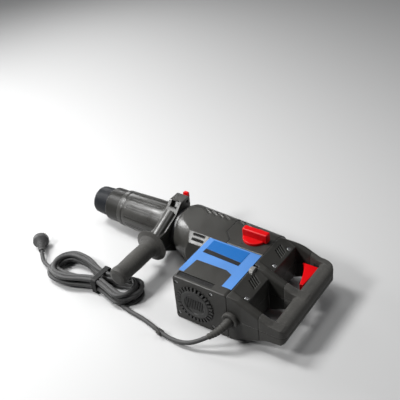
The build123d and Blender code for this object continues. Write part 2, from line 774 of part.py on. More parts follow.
def strain_relief():
    """Tapered boot, which droops and turns towards the lead."""
    x, y, z = GLAND
    end = Vector(*LEAD[0])
    root = rod("y", (y - 9, y + 9), 10, (x, z))
    middle = Vector(x, y + 8.5, z)
    axis = end - middle
    plane = Plane(origin=middle, z_dir=axis)
    cone = plane * Pos(0, 0, axis.length / 2) * Cone(8.8, 6.2, axis.length)
    return root + cone


def bent_tube(points, radius):
    """Straight runs joined by tangent arcs, each arc as large as its two runs allow."""
    vectors = [Vector(*p) for p in points]
    runs = [b - a for a, b in zip(vectors, vectors[1:])]
    radii = []
    for first, second in zip(runs, runs[1:]):
        half_turn = math.radians(first.get_angle(second)) / 2
        radii.append(0.45 * min(first.length, second.length) / math.tan(half_turn))
    path = FilletPolyline(*points, radius=radii)
    section = Plane(origin=vectors[0], z_dir=runs[0]) * Circle(radius)
    solid = sweep(section, path=path)
    print("cord radii", [round(r) for r in radii], "length", round(path.length))
    print("cord volume ratio", round(solid.volume / (math.pi * radius**2 * path.length), 4))
    return solid


def cord_lead():
    return bent_tube(LEAD, CORD_R)


def cord_tail():
    return bent_tube(TAIL, CORD_R)


def cord_hank():
    """Outer shape of the folded lead: two wide loops, drawn together where it is tied."""
    back, front = HANK_X
    half = [
        (back, 18), (back + 14, 34), (back + 38, 38), (back + 100, 24), (front - 96, 30),
        (front - 42, 44), (front - 14, 38), (front, 20),
    ]
    points = [(x, HANK_Y + w) for x, w in half] + [(x, HANK_Y - w) for x, w in reversed(half)]
    solid = prism(points, (FLOOR, HANK_TOP))
    return fillet(solid.faces().sort_by(Axis.Z)[-1].edges(), 7)


def cable_ties():
    """A strap round the waist of the hank."""
    x = (HANK_X[0] + 95, HANK_X[0] + 107)
    strap = block(x, (HANK_Y - 27, HANK_Y + 27), (FLOOR, HANK_TOP + 2), 6, Axis.X)
    return strap - cord_hank()


def plug_frame():
    return Plane(origin=PLUG_BASE, z_dir=PLUG_AIM, x_dir=(0.694, 0.72, 0.0))


def plug_body():
    """Round two-pin plug with a ribbed neck."""
    profile = [
        (0, 0), (0, 6.2), (26, 9.5), (30, 13.5), (33, 17), (34, 18), (44, 18), (46, 17.2), (46, 0),
    ]
    solid = revolve(make_face(Polyline(*profile, close=True)), Axis.X, 360)
    solid = Rot(0, -90, 0) * solid
    for k in range(4):
        groove = tube("z", (6 + 5 * k, 8 + 5 * k), 12, 6.2 + 0.6 * k)
        solid -= groove
    return plug_frame() * solid


def plug_pins():
    pins = []
    for side in (1, -1):
        pin = rod("z", (46, 65), 2.4, (side * 9.5, 0))
        pins.append(plug_frame() * fillet(pin.faces().sort_by(Axis.Z)[-1].edges(), 1.2))
    return Compound(pins)


NODES = {
    "gear_housing": gear_housing,
    "gear_cover": gear_cover,
    "motor_housing": motor_housing,
    "motor_end_cover": motor_end_cover,
    "trim_panel_upper": lambda: trim_panel(1),
    "trim_panel_lower": lambda: trim_panel(-1),
    "name_plates": name_plates,
    "handle_shell_upper": lambda: handle_shell(1),
    "handle_shell_lower": lambda: handle_shell(-1),
    "grip_shell_upper": lambda: grip_shell(1),
    "grip_shell_lower": lambda: grip_shell(-1),
    "trigger": trigger,
    "power_switch": power_switch,
    "speed_dial": speed_dial,
    "control_board": control_board,
    "mode_knob": mode_knob,
    "barrel_tube": barrel_tube,
    "barrel_sleeve": barrel_sleeve,
    "locking_sleeve": locking_sleeve,
    "dust_cap": dust_cap,
    "tool_holder": tool_holder,
    "locking_rollers": locking_rollers,
    "sleeve_spring": sleeve_spring,
    "cylinder": cylinder,
    "bevel_ring_gear": bevel_ring_gear,
    "spindle_bearings": spindle_bearings,
    "impact_bolt": impact_bolt,
    "ram": ram,
    "piston": piston,
    "wrist_pin": wrist_pin,
    "connecting_rod": connecting_rod,
    "crankshaft": crankshaft,
    "crank_gear": crank_gear,
    "idler_gear": idler_gear,
    "shaft_bearings": shaft_bearings,
    "bearing_plate": bearing_plate,
    "gearbox_plate": gearbox_plate,
    "armature_shaft": armature_shaft,
    "armature_core": armature_core,
    "commutator": commutator,
    "fan": fan,
    "motor_bearings": motor_bearings,
    "stator_core": stator_core,
    "field_coils": field_coils,
    "brush_holders": brush_holders,
    "carbon_brushes": carbon_brushes,
    "side_bracket": side_bracket,
    "clamp_band": clamp_band,
    "clamp_stud": clamp_stud,
    "side_grip": side_grip,
    "depth_lock_button": depth_lock_button,
    "case_screws": case_screws,
    "cord_gland": cord_gland,
    "strain_relief": strain_relief,
    "cord_lead": cord_lead,
    "cord_tail": cord_tail,
    "cord_hank": cord_hank,
    "cable_ties": cable_ties,
    "plug_body": plug_body,
    "plug_pins": plug_pins,
}

os.makedirs("parts", exist_ok=True)
for name, make in NODES.items():
    export_step(make(), f"parts/{name}.step")
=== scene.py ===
import json
import math

import bmesh
import bpy
from mathutils import Matrix, Vector


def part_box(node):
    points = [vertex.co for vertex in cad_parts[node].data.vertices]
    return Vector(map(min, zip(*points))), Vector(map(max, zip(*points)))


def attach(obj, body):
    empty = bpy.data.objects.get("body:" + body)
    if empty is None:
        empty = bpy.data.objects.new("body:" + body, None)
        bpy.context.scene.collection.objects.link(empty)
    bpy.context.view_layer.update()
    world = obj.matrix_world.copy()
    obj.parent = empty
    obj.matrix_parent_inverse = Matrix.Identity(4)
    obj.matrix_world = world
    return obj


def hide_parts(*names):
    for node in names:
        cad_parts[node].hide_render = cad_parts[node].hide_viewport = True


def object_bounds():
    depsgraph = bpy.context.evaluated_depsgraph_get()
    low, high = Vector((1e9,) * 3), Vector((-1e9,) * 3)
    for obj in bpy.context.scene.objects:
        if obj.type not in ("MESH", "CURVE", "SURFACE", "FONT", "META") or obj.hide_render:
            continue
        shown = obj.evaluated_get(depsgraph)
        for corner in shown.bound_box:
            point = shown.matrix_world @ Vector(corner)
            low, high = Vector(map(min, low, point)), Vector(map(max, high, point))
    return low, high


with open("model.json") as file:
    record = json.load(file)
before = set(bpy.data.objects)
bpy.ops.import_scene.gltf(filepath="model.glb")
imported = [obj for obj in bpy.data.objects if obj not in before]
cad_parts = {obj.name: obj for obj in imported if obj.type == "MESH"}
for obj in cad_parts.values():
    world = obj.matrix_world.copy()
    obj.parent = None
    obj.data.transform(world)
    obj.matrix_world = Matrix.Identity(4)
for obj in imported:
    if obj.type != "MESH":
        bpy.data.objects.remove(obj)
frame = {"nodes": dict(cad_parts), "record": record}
cad_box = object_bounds()
nodes = frame["nodes"]
mm = 0.001          # shapes are laid out in millimetres; materials and the stage are in metres


# ---- node helpers for materials -----------------------------------------------------------
class Graph:
    """A material with short helpers to add and join its nodes."""

    def __init__(self, name):
        self.material = bpy.data.materials.new(name)
        self.material.use_nodes = True
        self.tree = self.material.node_tree
        self.shader = self.tree.nodes["Principled BSDF"]
        self.place = self.add("ShaderNodeTexCoord").outputs["Object"]

    def add(self, kind, **settings):
        node = self.tree.nodes.new(kind)
        for key, value in settings.items():
            setattr(node, key, value)
        return node

    def join(self, output, socket):
        self.tree.links.new(output, socket)

    def noise(self, scale, detail, stretch=(1, 1, 1)):
        mapping = self.add("ShaderNodeMapping")
        mapping.inputs["Scale"].default_value = stretch
        self.join(self.place, mapping.inputs["Vector"])
        noise = self.add("ShaderNodeTexNoise")
        noise.inputs["Scale"].default_value = scale
        noise.inputs["Detail"].default_value = detail
        self.join(mapping.outputs[0], noise.inputs["Vector"])
        return noise.outputs["Fac"]

    def ramp(self, value, stops):
        """A colour ramp: stops is a list of (position, colour)."""
        ramp = self.add("ShaderNodeValToRGB")
        elements = ramp.color_ramp.elements
        while len(elements) < len(stops):
            elements.new(0.5)
        for element, (position, colour) in zip(elements, stops):
            element.position = position
            element.color = (*colour, 1)
        self.join(value, ramp.inputs[0])
        return ramp.outputs["Color"]

    def span(self, value, low, high, from_low=0.0, from_high=1.0):
        """Value carried from one range to another."""
        node = self.add("ShaderNodeMapRange")
        node.inputs["From Min"].default_value = from_low
        node.inputs["From Max"].default_value = from_high
        node.inputs["To Min"].default_value = low
        node.inputs["To Max"].default_value = high
        self.join(value, node.inputs["Value"])
        return node.outputs["Result"]

    def math(self, operation, a, b):
        node = self.add("ShaderNodeMath", operation=operation)
        for socket, value in zip(node.inputs, (a, b)):
            if isinstance(value, (int, float)):
                socket.default_value = value
            else:
                self.join(value, socket)
        return node.outputs[0]

    def mix(self, factor, a, b):
        node = self.add("ShaderNodeMix", data_type="RGBA")
        self.join(factor, node.inputs["Factor"])
        for socket, value in ((node.inputs[6], a), (node.inputs[7], b)):
            if isinstance(value, tuple):
                socket.default_value = (*value, 1)
            else:
                self.join(value, socket)
        return node.outputs[2]

    def bump(self, height, depth, normal=None):
        """Bump of a real depth in metres."""
        node = self.add("ShaderNodeBump")
        node.inputs["Strength"].default_value = 1.0
        node.inputs["Distance"].default_value = depth
        self.join(height, node.inputs["Height"])
        if normal is not None:
            self.join(normal, node.inputs["Normal"])
        return node.outputs["Normal"]

    def finish(self, colour, roughness, normal=None):
        for value, name in ((colour, "Base Color"), (roughness, "Roughness")):
            socket = self.shader.inputs[name]
            if isinstance(value, tuple):
                socket.default_value = (*value, 1)
            elif isinstance(value, float):
                socket.default_value = value
            else:
                self.join(value, socket)
        if normal is not None:
            self.join(normal, self.shader.inputs["Normal"])
        return self.material


def scaled(colour, factor):
    return tuple(min(1.0, c * factor) for c in colour)


# ---- materials ----------------------------------------------------------------------------
def moulded_plastic(name, colour, rough=0.37, grain=1500, shine=0.27):
    """Spark-eroded moulded plastic: fine grain, slow colour drift, handling marks."""
    g = Graph(name)
    g.shader.inputs["Specular IOR Level"].default_value = shine
    slow = g.noise(9, 2)
    smear = g.noise(38, 4, (1, 0.35, 1))
    fine = g.noise(grain, 2)
    base = g.ramp(slow, [(0.3, scaled(colour, 0.84)), (0.7, scaled(colour, 1.16))])
    speck = g.span(g.noise(grain * 0.8, 1), 0, 0.35, 0.62, 0.8)
    base = g.mix(speck, base, scaled(colour, 1.8))
    roughness = g.span(smear, rough - 0.07, rough + 0.09, 0.3, 0.7)
    scratches = g.noise(150, 2, (1, 14, 6))
    normal = g.bump(fine, 0.00004)
    normal = g.bump(g.span(scratches, 0, 1, 0.66, 0.7), 0.00001, normal)
    return g.finish(base, roughness, normal)


def rubber(name, colour, rough=0.62, grain=900, depth=0.00005):
    """Soft matt rubber with a faint bloom and dust in its texture."""
    g = Graph(name)
    g.shader.inputs["Specular IOR Level"].default_value = 0.26
    bloom = g.noise(24, 4)
    fine = g.noise(grain, 3)
    base = g.ramp(bloom, [(0.35, scaled(colour, 0.85)), (0.75, scaled(colour, 1.3))])
    dust = g.span(g.noise(300, 5), 0, 0.06, 0.55, 0.75)
    base = g.mix(dust, base, (0.32, 0.31, 0.29))
    g.shader.inputs["Sheen Weight"].default_value = 0.12
    g.shader.inputs["Sheen Roughness"].default_value = 0.45
    return g.finish(base, g.span(bloom, rough - 0.06, rough + 0.12), g.bump(fine, depth))


def satin_plastic(name, colour, rough, shine):
    """Smoother coloured plastic with a soft wave in its gloss."""
    g = Graph(name)
    slow = g.noise(14, 2)
    base = g.ramp(slow, [(0.3, scaled(colour, 0.9)), (0.7, scaled(colour, 1.12))])
    peel = g.noise(420, 2)
    smear = g.span(g.noise(60, 3, (1, 0.3, 1)), rough - 0.05, rough + 0.1)
    g.shader.inputs["Specular IOR Level"].default_value = shine
    return g.finish(base, smear, g.bump(peel, 0.00002))


def steel(name, colour, rough=0.3, stretch=(1, 60, 60)):
    """Machined metal: fine lines along the cut, under a cloudy film of oil."""
    g = Graph(name)
    lines = g.noise(260, 3, stretch)
    stain = g.noise(45, 5)
    base = g.ramp(stain, [(0.3, scaled(colour, 0.8)), (0.65, scaled(colour, 1.08))])
    g.shader.inputs["Metallic"].default_value = 1.0
    roughness = g.math("ADD", g.span(lines, -0.06, 0.08), g.span(stain, rough - 0.05, rough + 0.1))
    return g.finish(base, roughness, g.bump(lines, 0.000004))


def cast_metal(name, colour):
    """Sand-cast metal: a coarse skin with cloudy colour."""
    g = Graph(name)
    sand = g.noise(800, 4)
    base = g.ramp(g.noise(60, 4), [(0.3, scaled(colour, 0.82)), (0.7, scaled(colour, 1.1))])
    g.shader.inputs["Metallic"].default_value = 1.0
    return g.finish(base, g.span(sand, 0.4, 0.62), g.bump(sand, 0.00006))


def laminations(name, colour):
    """Stacked sheets seen from the side, about a millimetre from one to the next."""
    g = Graph(name)
    wave = g.add("ShaderNodeTexWave", wave_type="BANDS", bands_direction="Y")
    wave.inputs["Scale"].default_value = 320
    wave.inputs["Distortion"].default_value = 0.4
    g.join(g.place, wave.inputs["Vector"])
    base = g.ramp(wave.outputs["Fac"], [(0.2, scaled(colour, 0.45)), (0.7, colour)])
    g.shader.inputs["Metallic"].default_value = 0.9
    return g.finish(base, g.span(wave.outputs["Fac"], 0.6, 0.4), g.bump(wave.outputs["Fac"], 0.00006))


def windings(name, colour):
    """Enamelled wire laid turn beside turn."""
    g = Graph(name)
    wave = g.add("ShaderNodeTexWave", wave_type="BANDS", bands_direction="DIAGONAL")
    wave.inputs["Scale"].default_value = 260
    wave.inputs["Distortion"].default_value = 1.2
    g.join(g.place, wave.inputs["Vector"])
    base = g.ramp(wave.outputs["Fac"], [(0.15, scaled(colour, 0.35)), (0.7, colour)])
    g.shader.inputs["Metallic"].default_value = 0.85
    return g.finish(base, 0.34, g.bump(wave.outputs["Fac"], 0.0001))


def circuit_board(name, colour):
    """Green board with pale solder joints."""
    g = Graph(name)
    cells = g.add("ShaderNodeTexVoronoi")
    cells.inputs["Scale"].default_value = 180
    g.join(g.place, cells.inputs["Vector"])
    base = g.ramp(cells.outputs["Distance"], [(0.1, scaled(colour, 2.2)), (0.35, colour)])
    return g.finish(base, 0.35, g.bump(cells.outputs["Distance"], 0.00003))


STRIP_START = (-0.355, 0.0905)      # x and y of the line where the dark strip begins
STRIP_SLANT = 0.0595                # how far that line rises in y for each unit backwards


def label_plates(name, blue, black):
    """Two printed plates: the wide coloured one, and the dark strip on the motor's side of it."""
    g = Graph(name)
    split = g.add("ShaderNodeSeparateXYZ")
    g.join(g.place, split.inputs[0])
    slanted = g.math("MULTIPLY", g.math("ADD", split.outputs["X"], -STRIP_START[0]), STRIP_SLANT)
    beyond = g.math("ADD", g.math("SUBTRACT", split.outputs["Y"], STRIP_START[1]), slanted)
    in_strip = g.math("GREATER_THAN", beyond, 0.0)
    fleck = g.noise(900, 2)
    base = g.mix(in_strip, g.ramp(fleck, [(0.3, scaled(blue, 0.92)), (0.7, scaled(blue, 1.1))]), black)
    g.shader.inputs["Specular IOR Level"].default_value = 0.3
    return g.finish(base, g.span(g.noise(70, 3), 0.4, 0.5), g.bump(fleck, 0.00001))


def painted_metal(name, colour):
    """Black paint on metal, worn through in small spots."""
    g = Graph(name)
    wear = g.span(g.noise(120, 6), 0, 1, 0.68, 0.74)
    base = g.mix(wear, colour, (0.16, 0.16, 0.16))
    return g.finish(base, g.span(g.noise(30, 3), 0.34, 0.5), g.bump(g.noise(600, 3), 0.00003))


CHARCOAL = (0.022, 0.0215, 0.0195)
RUBBER_BLACK = (0.026, 0.025, 0.0225)
SLOT_MATERIALS = {
    "casing_plastic": moulded_plastic("casing_plastic", CHARCOAL),
    "grip_rubber": rubber("grip_rubber", RUBBER_BLACK),
    "blue_plastic": satin_plastic("blue_plastic", (0.043, 0.138, 0.35), 0.42, 0.4),
    "label_plate": label_plates("label_plate", (0.0, 0.07, 0.24), (0.005, 0.005, 0.006)),
    "red_plastic": satin_plastic("red_plastic", (0.39, 0.0005, 0.002), 0.34, 0.17),
    "dial_plastic": moulded_plastic("dial_plastic", (0.12, 0.12, 0.115), 0.3),
    "black_plastic": moulded_plastic("black_plastic", (0.007, 0.007, 0.007), 0.5, shine=0.2),
    "circuit_board": circuit_board("circuit_board", (0.01, 0.1, 0.04)),
    "machined_steel": steel("machined_steel", (0.52, 0.52, 0.53)),
    "bearing_steel": steel("bearing_steel", (0.66, 0.66, 0.67), 0.2),
    "gear_steel": steel("gear_steel", (0.38, 0.37, 0.36), 0.36, (20, 20, 20)),
    "spring_steel": steel("spring_steel", (0.4, 0.4, 0.42), 0.3, (30, 1, 1)),
    "forged_aluminium": cast_metal("forged_aluminium", (0.62, 0.62, 0.61)),
    "lamination_steel": laminations("lamination_steel", (0.3, 0.3, 0.31)),
    "copper": windings("copper", (0.78, 0.36, 0.18)),
    "carbon": moulded_plastic("carbon", (0.035, 0.035, 0.037), 0.55),
    "lead_rubber": rubber("lead_rubber", (0.03, 0.03, 0.03), 0.5, 1200, 0.00003),
    "plated_brass": steel("plated_brass", (0.8, 0.77, 0.7), 0.18, (30, 30, 1)),
}

# Nodes whose finish differs from that of their slot.
NODE_MATERIALS = {
    "barrel_tube": painted_metal("black_enamel", (0.02, 0.02, 0.021)),
    "clamp_band": steel("blackened_steel", (0.1, 0.1, 0.105), 0.38),
    "motor_end_cover": moulded_plastic("vent_cover_plastic", (0.03, 0.03, 0.029), 0.38),
    "barrel_sleeve": moulded_plastic("barrel_plastic", CHARCOAL, 0.33, shine=0.42),
    "gear_housing": moulded_plastic("nose_plastic", CHARCOAL, 0.36, shine=0.34),
    "side_bracket": moulded_plastic("bracket_plastic", CHARCOAL, 0.31, shine=0.55),
    "locking_sleeve": moulded_plastic("collar_plastic", scaled(CHARCOAL, 0.6), 0.36, shine=0.2),
    "dust_cap": moulded_plastic("dust_cap_rubber", (0.006, 0.007, 0.009), 0.42, 700, shine=0.15),
}


def soften(node, width):
    """Rounds a CAD node's sharp edges, as moulding and tumbling leave them."""
    weld = node.modifiers.new("weld", "WELD")
    weld.merge_threshold = 0.00002
    flat = node.modifiers.new("flat", "DECIMATE")
    flat.decimate_type = "DISSOLVE"
    flat.angle_limit = math.radians(0.6)
    bevel = node.modifiers.new("bevel", "BEVEL")
    bevel.width = width * mm
    bevel.segments = 3
    bevel.limit_method = "ANGLE"
    bevel.angle_limit = math.radians(28)
    bevel.use_clamp_overlap = True
    bevel.harden_normals = True
    bevel.miter_outer = "MITER_ARC"


def mould(node, voxel, passes):
    """Turns a CAD node's skin into one even, soft-cornered moulded surface."""
    remesh = node.modifiers.new("remesh", "REMESH")
    remesh.mode = "VOXEL"
    remesh.voxel_size = voxel * mm
    remesh.use_smooth_shade = True
    relax = node.modifiers.new("relax", "SMOOTH")
    relax.factor = 0.5
    relax.iterations = passes


# Voxel in mm and smoothing passes of each remeshed shell.
MOULDED = {
    "handle_shell_upper": (0.9, 8), "handle_shell_lower": (1.2, 5),
    "grip_shell_upper": (0.9, 16), "grip_shell_lower": (1.2, 12), "side_bracket": (0.65, 3),
    "gear_housing": (0.95, 3), "gear_cover": (1.0, 3),
}
# Width in mm of each node's rounded edges.
SOFT_EDGES = {
    "motor_housing": 1.0, "motor_end_cover": 0.5, "trim_panel_upper": 0.4, "trim_panel_lower": 0.4,
    "mode_knob": 0.8, "trigger": 0.8, "barrel_sleeve": 0.3, "depth_lock_button": 1.1,
    "cord_gland": 0.6, "cable_ties": 0.7, "plug_body": 0.4, "speed_dial": 0.3,
}


def dress_cad_nodes():
    """Gives each CAD node the finish of its material slot, and its soft edges."""
    slots = {row["node"]: row["material_slot"] for row in frame["record"]["subparts"]}
    for name, node in nodes.items():
        node.data.materials.clear()
        node.data.materials.append(NODE_MATERIALS.get(name, SLOT_MATERIALS[slots[name]]))
        if name in MOULDED:
            mould(node, *MOULDED[name])
        elif name in SOFT_EDGES:
            soften(node, SOFT_EDGES[name])


dress_cad_nodes()


# ---- mesh helpers -------------------------------------------------------------------------
def add_object(name, data, material, body):
    """Links a new piece, with its finish, and lets it ride on a body."""
    piece = bpy.data.objects.new(name, data)
    piece.data.materials.append(SLOT_MATERIALS[material])
    bpy.context.scene.collection.objects.link(piece)
    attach(piece, body)
    return piece


def smooth(mesh):
    for polygon in mesh.polygons:
        polygon.use_smooth = True


def swept_mesh(name, path, radii):
    """A closed tube of varying radius along a path of close points."""
    around = 24
    verts, faces = [], []
    side = None
    count = len(path)
    for k, (point, radius) in enumerate(zip(path, radii)):
        ahead = path[min(k + 1, count - 1)] - path[max(k - 1, 0)]
        ahead.normalize()
        side = ahead.orthogonal() if side is None else side - ahead * side.dot(ahead)
        side.normalize()
        other = ahead.cross(side)
        for n in range(around):
            angle = 2 * math.pi * n / around
            verts.append(point + radius * (math.cos(angle) * side + math.sin(angle) * other))
    for k in range(count - 1):
        for n in range(around):
            a, b = k * around + n, k * around + (n + 1) % around
            faces.append((a, b, b + around, a + around))
    faces.append(tuple(reversed(range(around))))
    faces.append(tuple(range((count - 1) * around, count * around)))
    mesh = bpy.data.meshes.new(name)
    mesh.from_pydata(verts, [], faces)
    smooth(mesh)
    return mesh


def bezier(p0, p1, p2, p3, steps):
    """Points along a cubic curve."""
    points = []
    for k in range(steps + 1):
        t = k / steps
        u = 1 - t
        points.append(u**3 * p0 + 3 * u * u * t * p1 + 3 * u * t * t * p2 + t**3 * p3)
    return points


def bars_mesh(name, bars):
    """One mesh of separate small bars: each is (placing matrix, (length, width, height)), in mm."""
    made = bmesh.new()
    for place, size in bars:
        bar = bmesh.ops.create_cube(made, size=1)["verts"]
        bmesh.ops.scale(made, vec=Vector(size), verts=bar)
        bmesh.ops.transform(made, matrix=Matrix.Scale(mm, 4) @ place, verts=bar)
    mesh = bpy.data.meshes.new(name)
    made.to_mesh(mesh)
    made.free()
    return mesh


def rounded(piece, width):
    """Rounds a small piece's edges."""
    bevel = piece.modifiers.new("rounding", "BEVEL")
    bevel.width = width * mm
    bevel.segments = 2
    return piece


def turn_x(degrees):
    return Matrix.Rotation(math.radians(degrees), 4, "X")


def turn_z(degrees):
    return Matrix.Rotation(math.radians(degrees), 4, "Z")


def node_middle(name):
    """The middle of a CAD node's box, in mm."""
    low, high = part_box(name)
    return (low + high) / 2 / mm


def both_faces(bars):
    """The bars, and the same bars on the casing's lower face."""
    mirror = Matrix.Scale(-1, 4, (0, 0, 1))
    return bars + [(mirror @ place, size) for place, size in bars]


def flat_run(start, end, z, size):
    """A bar laid between two points of the casing's plan: size is (width, height)."""
    run = Vector(end) - Vector(start)
    middle = (Vector(start) + Vector(end)) / 2
    place = Matrix.Translation((*middle, z)) @ turn_z(math.degrees(math.atan2(run.y, run.x)))
    return place, (run.length + size[0], *size)


# ---- small details on the casing ----------------------------------------------------------
AIR_SLOTS = [(-316, 59.2, 49.7), (-316, 66.6, 42.4)]
CHAMFER_ANGLE = -45
FIN_COUNT, FIN_PITCH, FIN_SLANT = 8, 3.3, 62
FIN_SIZE = (5.6, 1.1, 3.4)


def nose_vent_fins():
    """Slanted fins inside the two air slots beside the motor, on both sides of the casing."""
    bars = []
    for middle in AIR_SLOTS:
        slot = Matrix.Translation(middle) @ turn_x(CHAMFER_ANGLE)
        for n in range(FIN_COUNT):
            fin = Matrix.Translation((-11.5 + FIN_PITCH * n, 0, -2.2)) @ turn_z(FIN_SLANT)
            bars.append((slot @ fin, FIN_SIZE))
    mesh = bars_mesh("nose_vent_fins", both_faces(bars))
    fins = add_object("nose_vent_fins", mesh, "black_plastic", "housing")
    rounded(fins, 0.2)


POCKET_Y, POCKET_Z, POCKET_SLOPE = 1, 58, -48
TOOTH_SIZE, TOOTH_PITCH, TOOTH_REACH = (1.7, 1.7, 15), 3.3, 7.9


def lock_teeth():
    """Toothed rack in the bracket's pocket, which the depth rod's lock bites on."""
    centre = (node_middle("side_bracket")[0], POCKET_Y, POCKET_Z)
    pocket = Matrix.Translation(centre) @ turn_x(POCKET_SLOPE)
    bars = []
    for k in range(5):
        for side in (1, -1):
            place = (-6.6 + TOOTH_PITCH * k, side * TOOTH_REACH, 1.5)
            tooth = Matrix.Translation(place) @ turn_z(45)
            bars.append((pocket @ tooth, TOOTH_SIZE))
    mesh = bars_mesh("lock_teeth", bars)
    rounded(add_object("lock_teeth", mesh, "casing_plastic", "side_handle"), 0.2)


KNOB_CENTRE = (-425, 18, 54.1)
FIRST_MARK, MARK_STEP = 58, 20      # degrees


def knob_marks():
    """Raised marks round the mode knob: a long one for each of its positions, and short ones between."""
    bars = []
    for k in range(7):
        long_mark = k % 3 == 0
        place = Matrix.Translation(KNOB_CENTRE) @ turn_z(FIRST_MARK + MARK_STEP * k)
        reach, length = (31, 5) if long_mark else (29.5, 2.2)
        bars.append((place @ Matrix.Translation((reach, 0, 0)), (length, 1.1, 0.7)))
    mesh = bars_mesh("knob_marks", bars)
    rounded(add_object("knob_marks", mesh, "casing_plastic", "housing"), 0.15)


STEPPED_JOINT = [(-361.4, -8), (-361.4, 24.2), (-380.4, 43.2), (-380.4, 56.5)]
# Height and size of the dark bar painted as shade along the joint.
SHADE_LINE_Z, SHADE_LINE_SIZE = 53.1, (1.6, 2.1)


def casing_joint_painted_shade():
    """Painted shade: a dark bar that shows as a line in the stepped joint between the front and rear
    casings.
    """
    ends = zip(STEPPED_JOINT, STEPPED_JOINT[1:])
    bars = [flat_run(start, end, SHADE_LINE_Z, SHADE_LINE_SIZE) for start, end in ends]
    mesh = bars_mesh("casing_joint_painted_shade", both_faces(bars))
    add_object("casing_joint_painted_shade", mesh, "black_plastic", "housing")


def motor_recess_painted_shade():
    """Painted shade: a dark sheet laid on the floor of the recess across the motor's end, with a low
    dark rib along it, to darken the recess.
    """
    motor_middle = -387.5
    bars = [
        (Matrix.Translation((motor_middle, 177.75, 51.9)), (80, 11.6, 0.9)),
        (Matrix.Translation((motor_middle, 175.5, 52.4)), (76, 1.2, 1)),
    ]
    mesh = bars_mesh("motor_recess_painted_shade", both_faces(bars))
    strips = add_object("motor_recess_painted_shade", mesh, "black_plastic", "housing")
    rounded(strips, 0.3)


nose_vent_fins()
lock_teeth()
knob_marks()
casing_joint_painted_shade()
motor_recess_painted_shade()


# ---- mains lead ---------------------------------------------------------------------------
CORD_D = 9.0
CORD_Z = -49.5          # its middle line where it lies on the ground
# The route from the strain relief to the hank.
LEAD = [
    (-448, 231, -20), (-427, 245, -34), (-400, 252, -44), (-370, 251, CORD_Z), (-340, 246, CORD_Z),
    (-311, 238, CORD_Z), (-282, 232, CORD_Z), (-252, 229, CORD_Z),
]
CLIP_AT = LEAD[4]
HANK_START = (-252, 230, CORD_Z)    # stands in for the route's last point, in line with the first turn
# The route down from the top of the hank, and on to the plug.
DESCENT = [(-40, 229, -29), (-26, 218, -38)]
TAIL = [(-14, 211, -43), (4, 207, -44.5), (20, 198, -42), (33, 185, -37)]
HANK_Y = 194
TIE_X = -151
TIE_REACH = 44          # how far from the tie the turns are drawn in
LEAN_REACH = 95         # how far from the tie a layer reaches its full lean
BACK_X, FRONT_X = -246, -20
ROW = 8.7               # height of one layer
INNER_INSET = 9.5       # how much shorter the inner turns are at each end
FAN = ((0, -9), (3, 4), (-3, -4), (2, 8))    # each layer's sideways lean, at the back and the front
LANES = {                                    # (waist, back, front) of each turn's half width
    ("even", "outer"): (13.5, 33, 37), ("even", "inner"): (4.5, 24, 28),
    ("odd", "outer"): (18, 36, 41), ("odd", "inner"): (9, 27, 32),
}
# Each turn's layer and ring, and how much further in its front fold stops than the layer's own.
TURNS = [
    (0, "outer", 0), (0, "inner", 3), (1, "inner", 1), (1, "outer", -3), (2, "outer", 2),
    (2, "inner", -2), (3, "inner", 4),
]


def lane(layer, ring):
    return LANES["odd" if layer % 2 else "even", ring]


def lean(layer, x):
    """How far a layer leans sideways at x: nothing at the tie."""
    back, front = FAN[layer]
    far = min(1.0, abs(x - TIE_X) / LEAN_REACH)
    return (front if x > TIE_X else back) * far * far * (3 - 2 * far)


def run_point(x, side, layer, ring):
    """A point of a long run of the hank, drawn in at the tie."""
    waist, back, front = lane(layer, ring)
    wide = back if x < TIE_X else front
    half = wide + (waist - wide) * math.exp(-(((x - TIE_X) / TIE_REACH) ** 2))
    return (x, HANK_Y + side * half + lean(layer, x), CORD_Z + ROW * layer)


def fold_points(end, from_half, to_half, layers, inset):
    """The loop at one end of the hank, from one run to the next."""
    radius = (from_half + to_half) / 2
    bulge = radius * 1.04       # a control curve passes inside its points
    sign = 1 if end == FRONT_X else -1
    centre_x = end - sign * (radius + inset)
    centre_y = HANK_Y + sign * (from_half - radius)
    points = []
    for k in range(1, 6):
        angle = math.pi * k / 6
        share = k / 6
        layer = layers[0] + (layers[1] - layers[0]) * share
        y = centre_y + sign * bulge * math.cos(angle)
        x = centre_x + sign * bulge * math.sin(angle)
        shift = lean(layers[0], end) * (1 - share) + lean(layers[1], end) * share
        points.append((x, y + shift, CORD_Z + ROW * layer))
    return points


def hank_points():
    """The folded lead: flat turns that wind inwards and outwards, one layer on the next."""
    points = []
    for k, (layer, ring, shorter) in enumerate(TURNS):
        _, back, front = lane(layer, ring)
        inset = 0 if ring == "outer" else INNER_INSET
        start, stop = BACK_X + back + inset, FRONT_X - front - inset - shorter
        span = [start + (stop - start) * n / 5 for n in range(6)]
        points += [run_point(x, 1, layer, ring) for x in span[1 if k == 0 else 0:]]
        points += fold_points(FRONT_X, front, front, (layer, layer), inset + shorter)
        points += [run_point(x, -1, layer, ring) for x in reversed(span)]
        next_layer, next_ring = TURNS[k + 1][:2] if k + 1 < len(TURNS) else (layer, "outer")
        next_back = lane(next_layer, next_ring)[1]
        points += fold_points(BACK_X, back, next_back, (layer, next_layer), inset)
    last_run = range(-205, -69, 27)
    points += [run_point(x, 1, TURNS[-1][0], "outer") for x in last_run]
    return points


def mains_lead():
    """The whole lead as one curve: out of the strain relief, round the hank and to the plug."""
    curve = bpy.data.curves.new("mains_lead", "CURVE")
    curve.dimensions = "3D"
    curve.bevel_depth = CORD_D / 2 * mm
    curve.bevel_resolution = 5
    curve.resolution_u = 6
    curve.use_fill_caps = True
    points = LEAD[:-1] + [HANK_START] + hank_points() + DESCENT + TAIL
    spline = curve.splines.new("NURBS")
    spline.points.add(len(points) - 1)
    for control, place in zip(spline.points, points):
        control.co = (*[value * mm for value in place], 1)
    spline.order_u = 3
    spline.use_endpoint_u = True
    lead = add_object("mains_lead", curve, "lead_rubber", "housing")
    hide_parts("cord_lead", "cord_hank", "cord_tail")
    return lead


